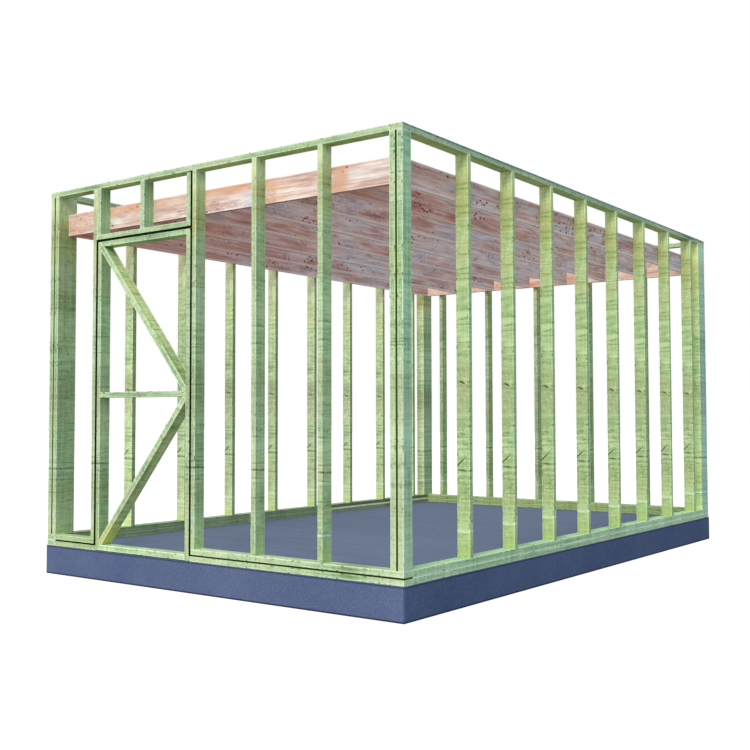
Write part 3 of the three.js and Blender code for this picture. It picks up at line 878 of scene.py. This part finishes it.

# %% [markdown]
# ## Painted light and wear
# Light reaches the walls unevenly, and it is painted in. A row gives a kind of stick its lift, a painted
# brightening all over, and its casts, painted light and shade on the faces that look one way. The first
# name that is part of the solid's name wins, so special sticks stand first, and the last row, with no name,
# catches the rest. Undersides are painted in shade unless a row says otherwise. Three more numbers tell
# treated sticks apart: the strength of the stripes, of the saw's marks and of the pale edges, partly wear
# and partly painted highlight.

# %% Painted light and wear
# Painted shade on the undersides.
SHADED = "#e6ecc0"
# Painted light and shade for each kind of stick: its lift and its casts.
LOOKS = (
    ("right_stud", 1.18, {"X": "#c9d8d6", "Y": "#f5f5e3"}),
    ("right_sole", 1.25, {"X": "#cedce2", "up": "#eafff8"}),
    ("right_top", 1.0, {"X": "#d4e0ea"}),
    ("front_right_post", 1.06, {"X": "#d8f0ff"}),
    ("right_post", 1.28, {"X": "#c6d9fb", "Y": "#fbfbe0"}),
    ("left_stud", 1.45, {"X": "#adb9a5", "Y": "#fff8f3"}),
    ("left_sole", 1.0, {"X": "#c4cac4"}),
    ("back_left_post", 1.62, {"X": "#bec4ce", "Y": "#fff4f0"}),
    ("left_post", 1.0, {"X": "#dde6e0"}),
    ("left_top", 1.03, {"X": "#e0edff"}),
    ("back_stud", 1.03, {"X": "#d4e0cc", "Y": "#fff7fa"}),
    ("back_sole", 1.0, {"Y": "#f6f4cc"}),
    ("front_sole", 1.10, {"X": "#dfeceb"}),
    ("door_bottom", 1.22, {"X": "#dfeceb"}),
    ("brace", 1.05, {"X": "#fffce6", "down": "#ffffff"}),
    ("back_rim", 1.45, {"Y": "#efe8de", "down": "#c9b4a8"}),
    ("rim_joist", 1.52, {"Y": "#f2feff", "down": "#c9b4a8"}),
    ("joist", 1.60, {"X": "#c8cfd6", "down": "#eef6fc"}),
    ("", 1.0, {"X": "#dfeceb"}),
)


def wear_of(name, marks):
    """The strength of a treated stick's stripes, of the saw's marks and of its pale edges, partly wear and
    partly painted highlight.
    """
    if not is_upright(name):
        return (0.5, 0.8, 0.9) if "brace" in name else (0.6, 0.3, 0.75)
    if CHALK_LINE in marks:
        return (0.2, 0.75, 0.4)
    return (0.9 if "right" in name else 0.5, 0.65, 0.75)


# The kinds differ by painted light and shade.
print("kinds of stick by weather:", len(LOOKS))

# %% [markdown]
# ## Dress the timber
# Every stick is cut from its own part of the log, by a random shift with a fixed seed, so that the result is
# the same each time. The studs of one wall share theirs, because they show the same marks. A material is made
# for each solid, since its grain and its gaps are its own. The resin stains on the front rim are given one by
# one, and so is how much redder and darker each joist's front end is, from left to right.

# %% Dress the timber
SEED = 11
LOG_REACH = (7.0, 0.2, 0.2)
RESIN = (
    (-1.38, 260, RIM_LOW - 0.06, 0.45),
    (-0.85, 800, RIM_TOP - 0.075, 0.60),
    (0.02, 760, RIM_TOP - 0.055, 0.65),
    (0.50, 90, RIM_LOW - 0.06, 0.45),
    (1.04, 110, RIM_LOW - 0.06, 0.55),
)
REDDENED = (1.0, 0.9, 0.75, 0.5, 0.3, 0.2, 0.8, 0.15)
RIM_JOIST = {"streaked": 0.45, "reddened": 0.0, "arris": (8.0, 0.5)}
CEILING_JOIST = {"salmon": 0.2, "streaked": 0.6, "resin": (), "arris": (14.0, 0.9)}
rng = np.random.default_rng(SEED)
shifts = {}


def joist_finish(name, cut, lift, casts):
    """Bare pine for one of the two rim joists or for a ceiling joist."""
    stick = (f"bare_pine_{name}", cut, lift, casts)
    if name == "front_rim_joist":
        return bare_pine(*stick, salmon=0.3, resin=RESIN, **RIM_JOIST)
    if name == "back_rim_joist":
        return bare_pine(*stick, salmon=0.35, resin=(), **RIM_JOIST)
    return bare_pine(*stick, reddened=REDDENED[int(name[-1]) - 1], **CEILING_JOIST)


def stick_finish(name):
    """The pine of one solid, cut from another part of the log than its neighbours."""
    batch = name.rstrip("12345678") if "_stud_" in name else name
    shift = shifts.setdefault(batch, (rng.uniform(-1.0, 1.0, 3) * LOG_REACH).tolist())
    cut = (*sticks_of(name), shift)
    lift, casts = next((lift, {"down": SHADED, **casts}) for part, lift, casts in LOOKS if part in name)
    if "joist" in name:
        return joist_finish(name, cut, lift, casts)
    marks = marks_of(name)
    wear = wear_of(name, marks)
    curled = CURLED if is_upright(name) and name != "front_right_post" else ()
    tick_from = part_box(name)[0].x if name.startswith(("left_stud", "right_stud")) else None
    lines = LINES.get(name, ())
    gaps = GAPS.get(name, ())
    return treated_pine(f"treated_pine_{name}", cut, wear, marks, curled, tick_from, lines, gaps, lift, casts)


for name in timber:
    dress(name, stick_finish(name))
print("sticks dressed:", len(timber), "from", len(shifts), "parts of the log")

# %% [markdown]
# ## Cast concrete
# The slab was cast against smooth boards, so its sides are even. Its top was trowelled, which leaves long
# faint strokes, and it is painted paler, partly for the trowelled skin and partly as painted light from
# above.
# The colour is a slate blue, and there is no gloss at all. Slow noise clouds the colour, fine noise is the
# grit, drawn coarser than real sand so that it shows, and the normal tells the top from the sides.

# %% Slab colour
CLOUD_MM = (625, 625)
GRIT_MM = (12, 12)
STROKE_MM = (700, 45)
SLATE = ((0.3, "#54628a"), (0.5, "#5b6a8e"), (0.7, "#647297"))


def slab_tone(tree, place, grit, flat):
    """Slow clouds of slate blue, and the grit over them. The flat top is paler, partly for its trowelled
    skin and partly as painted light, and has long strokes.
    """
    cloud = add(tree, "TexNoise", spaced(tree, place, *CLOUD_MM), 1.0, 4.0, 0.6)
    # The paler top: partly the trowelled skin, partly painted light from above.
    tone = add(tree, "Mix", flat, add(tree, "ValToRGB", cloud, stops=SLATE), "#7a87a0", **COLOUR)
    stroke = add(tree, "TexNoise", spaced(tree, place, *STROKE_MM), 1.0, 2.0)
    stroke = add(tree, "MapRange", stroke, 0.3, 0.7, 0.42, 0.58)
    tone = add(tree, "Mix", add(tree, "Math", flat, 0.5, **TIMES), tone, stroke, **OVERLAY)
    return add(tree, "Mix", 0.75, tone, add(tree, "MapRange", grit, 0.3, 0.7, 0.34, 0.66), **OVERLAY)


print("grit", GRIT_MM[0], "mm, trowel strokes", STROKE_MM[0], "mm long")

# %% [markdown]
# ## Air holes and painted shade
# Air trapped against the boards leaves small round holes, and some fill with pale grout. One Voronoi pattern
# gives both: each cell has a random colour, and its red decides whether the cell's middle is a hole, a pale
# spot or nothing. Painted shade keeps the foot of the slab dark, and on its sides the line just under the
# timber. The casts paint the right side in a darker, cooler shade and the top a little darker.

# %% The concrete material
HOLES_MM = (7.6, 7.6)
# How far the painted shade reaches up from the foot and down from the top of the sides.
SLAB_SHADE_LINE = 0.014
# Painted shade: the right side darker and cooler, the top a little darker.
SLAB_CASTS = {"X": "#c9d9e2", "up": "#e8eef4"}


def air_holes(tree, tone, place):
    """Dark holes and pale spots in the middle of some of the cells of a Voronoi pattern."""
    cells = spaced(tree, place, *HOLES_MM)
    hole = add(tree, "MapRange", add(tree, "TexVoronoi", cells, Scale=1.0), 0.15, 0.32, 1.0, 0.0)
    chosen = add(tree, "SeparateColor", add(tree, "TexVoronoi", cells, Scale=1.0, out="Color"), out="Red")
    dark = add(tree, "Math", hole, add(tree, "MapRange", chosen, 0.66, 0.74, 0.0, 0.9), **TIMES)
    tone = add(tree, "Mix", dark, tone, "#2a3450", **COLOUR)
    pale = add(tree, "Math", hole, add(tree, "MapRange", chosen, 0.10, 0.20, 0.40, 0.0), **TIMES)
    return add(tree, "Mix", pale, tone, "#9dabc4", **COLOUR)


def slab_shade_lines(tree, tone, place, flat):
    """Painted shade: a dark line along the foot of the slab, and one along the top of its sides."""
    height = add(tree, "SeparateXYZ", place, out="Z")
    low = add(tree, "MapRange", height, SLAB_SHADE_LINE * 0.4, SLAB_SHADE_LINE, 1.0, 0.0)
    high = add(tree, "MapRange", height, SLAB_TOP - SLAB_SHADE_LINE, SLAB_TOP - SLAB_SHADE_LINE * 0.4, 0.0, 0.85)
    side_high = add(tree, "Math", high, flat, operation="SUBTRACT", use_clamp=True)
    slab_shade = add(tree, "Math", low, side_high, operation="MAXIMUM")
    return add(tree, "Mix", slab_shade, tone, "#1f2b45", **COLOUR)


def cast_concrete():
    """Slate-blue concrete with grit and air holes, a top painted paler, and painted shade at its foot."""
    material, tree, surface = new_material("cast_concrete")
    place = add(tree, "TexCoord", out="Object")
    grit = add(tree, "TexNoise", spaced(tree, place, *GRIT_MM), 1.0, 3.0, 0.7)
    up = add(tree, "SeparateXYZ", add(tree, "TexCoord", out="Normal"), out="Z")
    flat = add(tree, "MapRange", up, 0.5, 0.9, 0.0, 1.0)
    tone = air_holes(tree, slab_tone(tree, place, grit, flat), place)
    tone = paint_face_shading(tree, slab_shade_lines(tree, tone, place, flat), SLAB_CASTS)
    rough = add(tree, "MapRange", grit, 0.3, 0.7, 0.85, 0.98)
    to_shader(tree, surface, tone, rough, grit, strength=0.4, depth=0.002, specular=0.25)
    return material


dress("concrete_slab", cast_concrete())
print("air holes in cells of", HOLES_MM[0], "mm")

# %% [markdown]
# ## Galvanised steel
# The hinges are pressed steel with a coat of zinc. Zinc freezes in flat crystals, about a millimetre wide on
# small parts, each of a slightly different grey and gloss. A Voronoi pattern gives that directly: one random
# number to a cell sets both.

# %% The steel material
SPANGLE_MM = (0.9, 0.9)
ZINC = ((0.0, "#8f9496"), (1.0, "#b9bdbf"))


def galvanised_steel():
    """Zinc crystals: each Voronoi cell has one grey and one roughness."""
    material, tree, surface = new_material("galvanised_steel")
    cells = spaced(tree, add(tree, "TexCoord", out="Object"), *SPANGLE_MM)
    grey = add(tree, "SeparateColor", add(tree, "TexVoronoi", cells, Scale=1.0, out="Color"), out="Red")
    tree.links.new(add(tree, "ValToRGB", grey, stops=ZINC), surface["Base Color"])
    tree.links.new(add(tree, "MapRange", grey, 0.0, 1.0, 0.36, 0.55), surface["Roughness"])
    surface["Metallic"].default_value = 1.0
    return material


zinc = galvanised_steel()
halves = [name for name in nodes if name.endswith("_half")]
for name in halves:
    dress(name, zinc)
print("hinge halves in zinc:", len(halves))

# %% [markdown]
# ## Floor
# A wide sheet stands in for a studio's paper floor, a millimetre lower than the slab. It is grey, so that it
# throws little light back on to the timber, and it glows just enough for the camera to see it as white as
# the backdrop. So no horizon shows, and only a faint shadow is left round the slab.

# %% The studio floor
FLOOR_HALF = 60.0
FLOOR_LEVEL = -0.001
GLOW = 0.72


def white_paper():
    """Matt grey that glows for the rays that start at the camera."""
    material, tree, surface = new_material("white_paper")
    surface["Base Color"].default_value = linear("#b4b4b4")
    surface["Specular IOR Level"].default_value = 0.0
    surface["Emission Color"].default_value = linear("#ffffff")
    to_camera = add(tree, "LightPath", out="Is Camera Ray")
    tree.links.new(add(tree, "Math", to_camera, GLOW, **TIMES), surface["Emission Strength"])
    return material


corners = np.array([[-1, -1], [1, -1], [1, 1], [-1, 1]]) * FLOOR_HALF
floor_mesh = bpy.data.meshes.new("studio_floor")
floor_mesh.from_pydata([(x, y, FLOOR_LEVEL) for x, y in corners.tolist()], [], [(0, 1, 2, 3)])
floor_mesh.materials.append(white_paper())
floor = bpy.data.objects.new("studio_floor", floor_mesh)
bpy.context.scene.collection.objects.link(floor)
print("the floor is", 2 * FLOOR_HALF, "m wide")

# %% Count the materials
print("materials made:", len(bpy.data.materials))
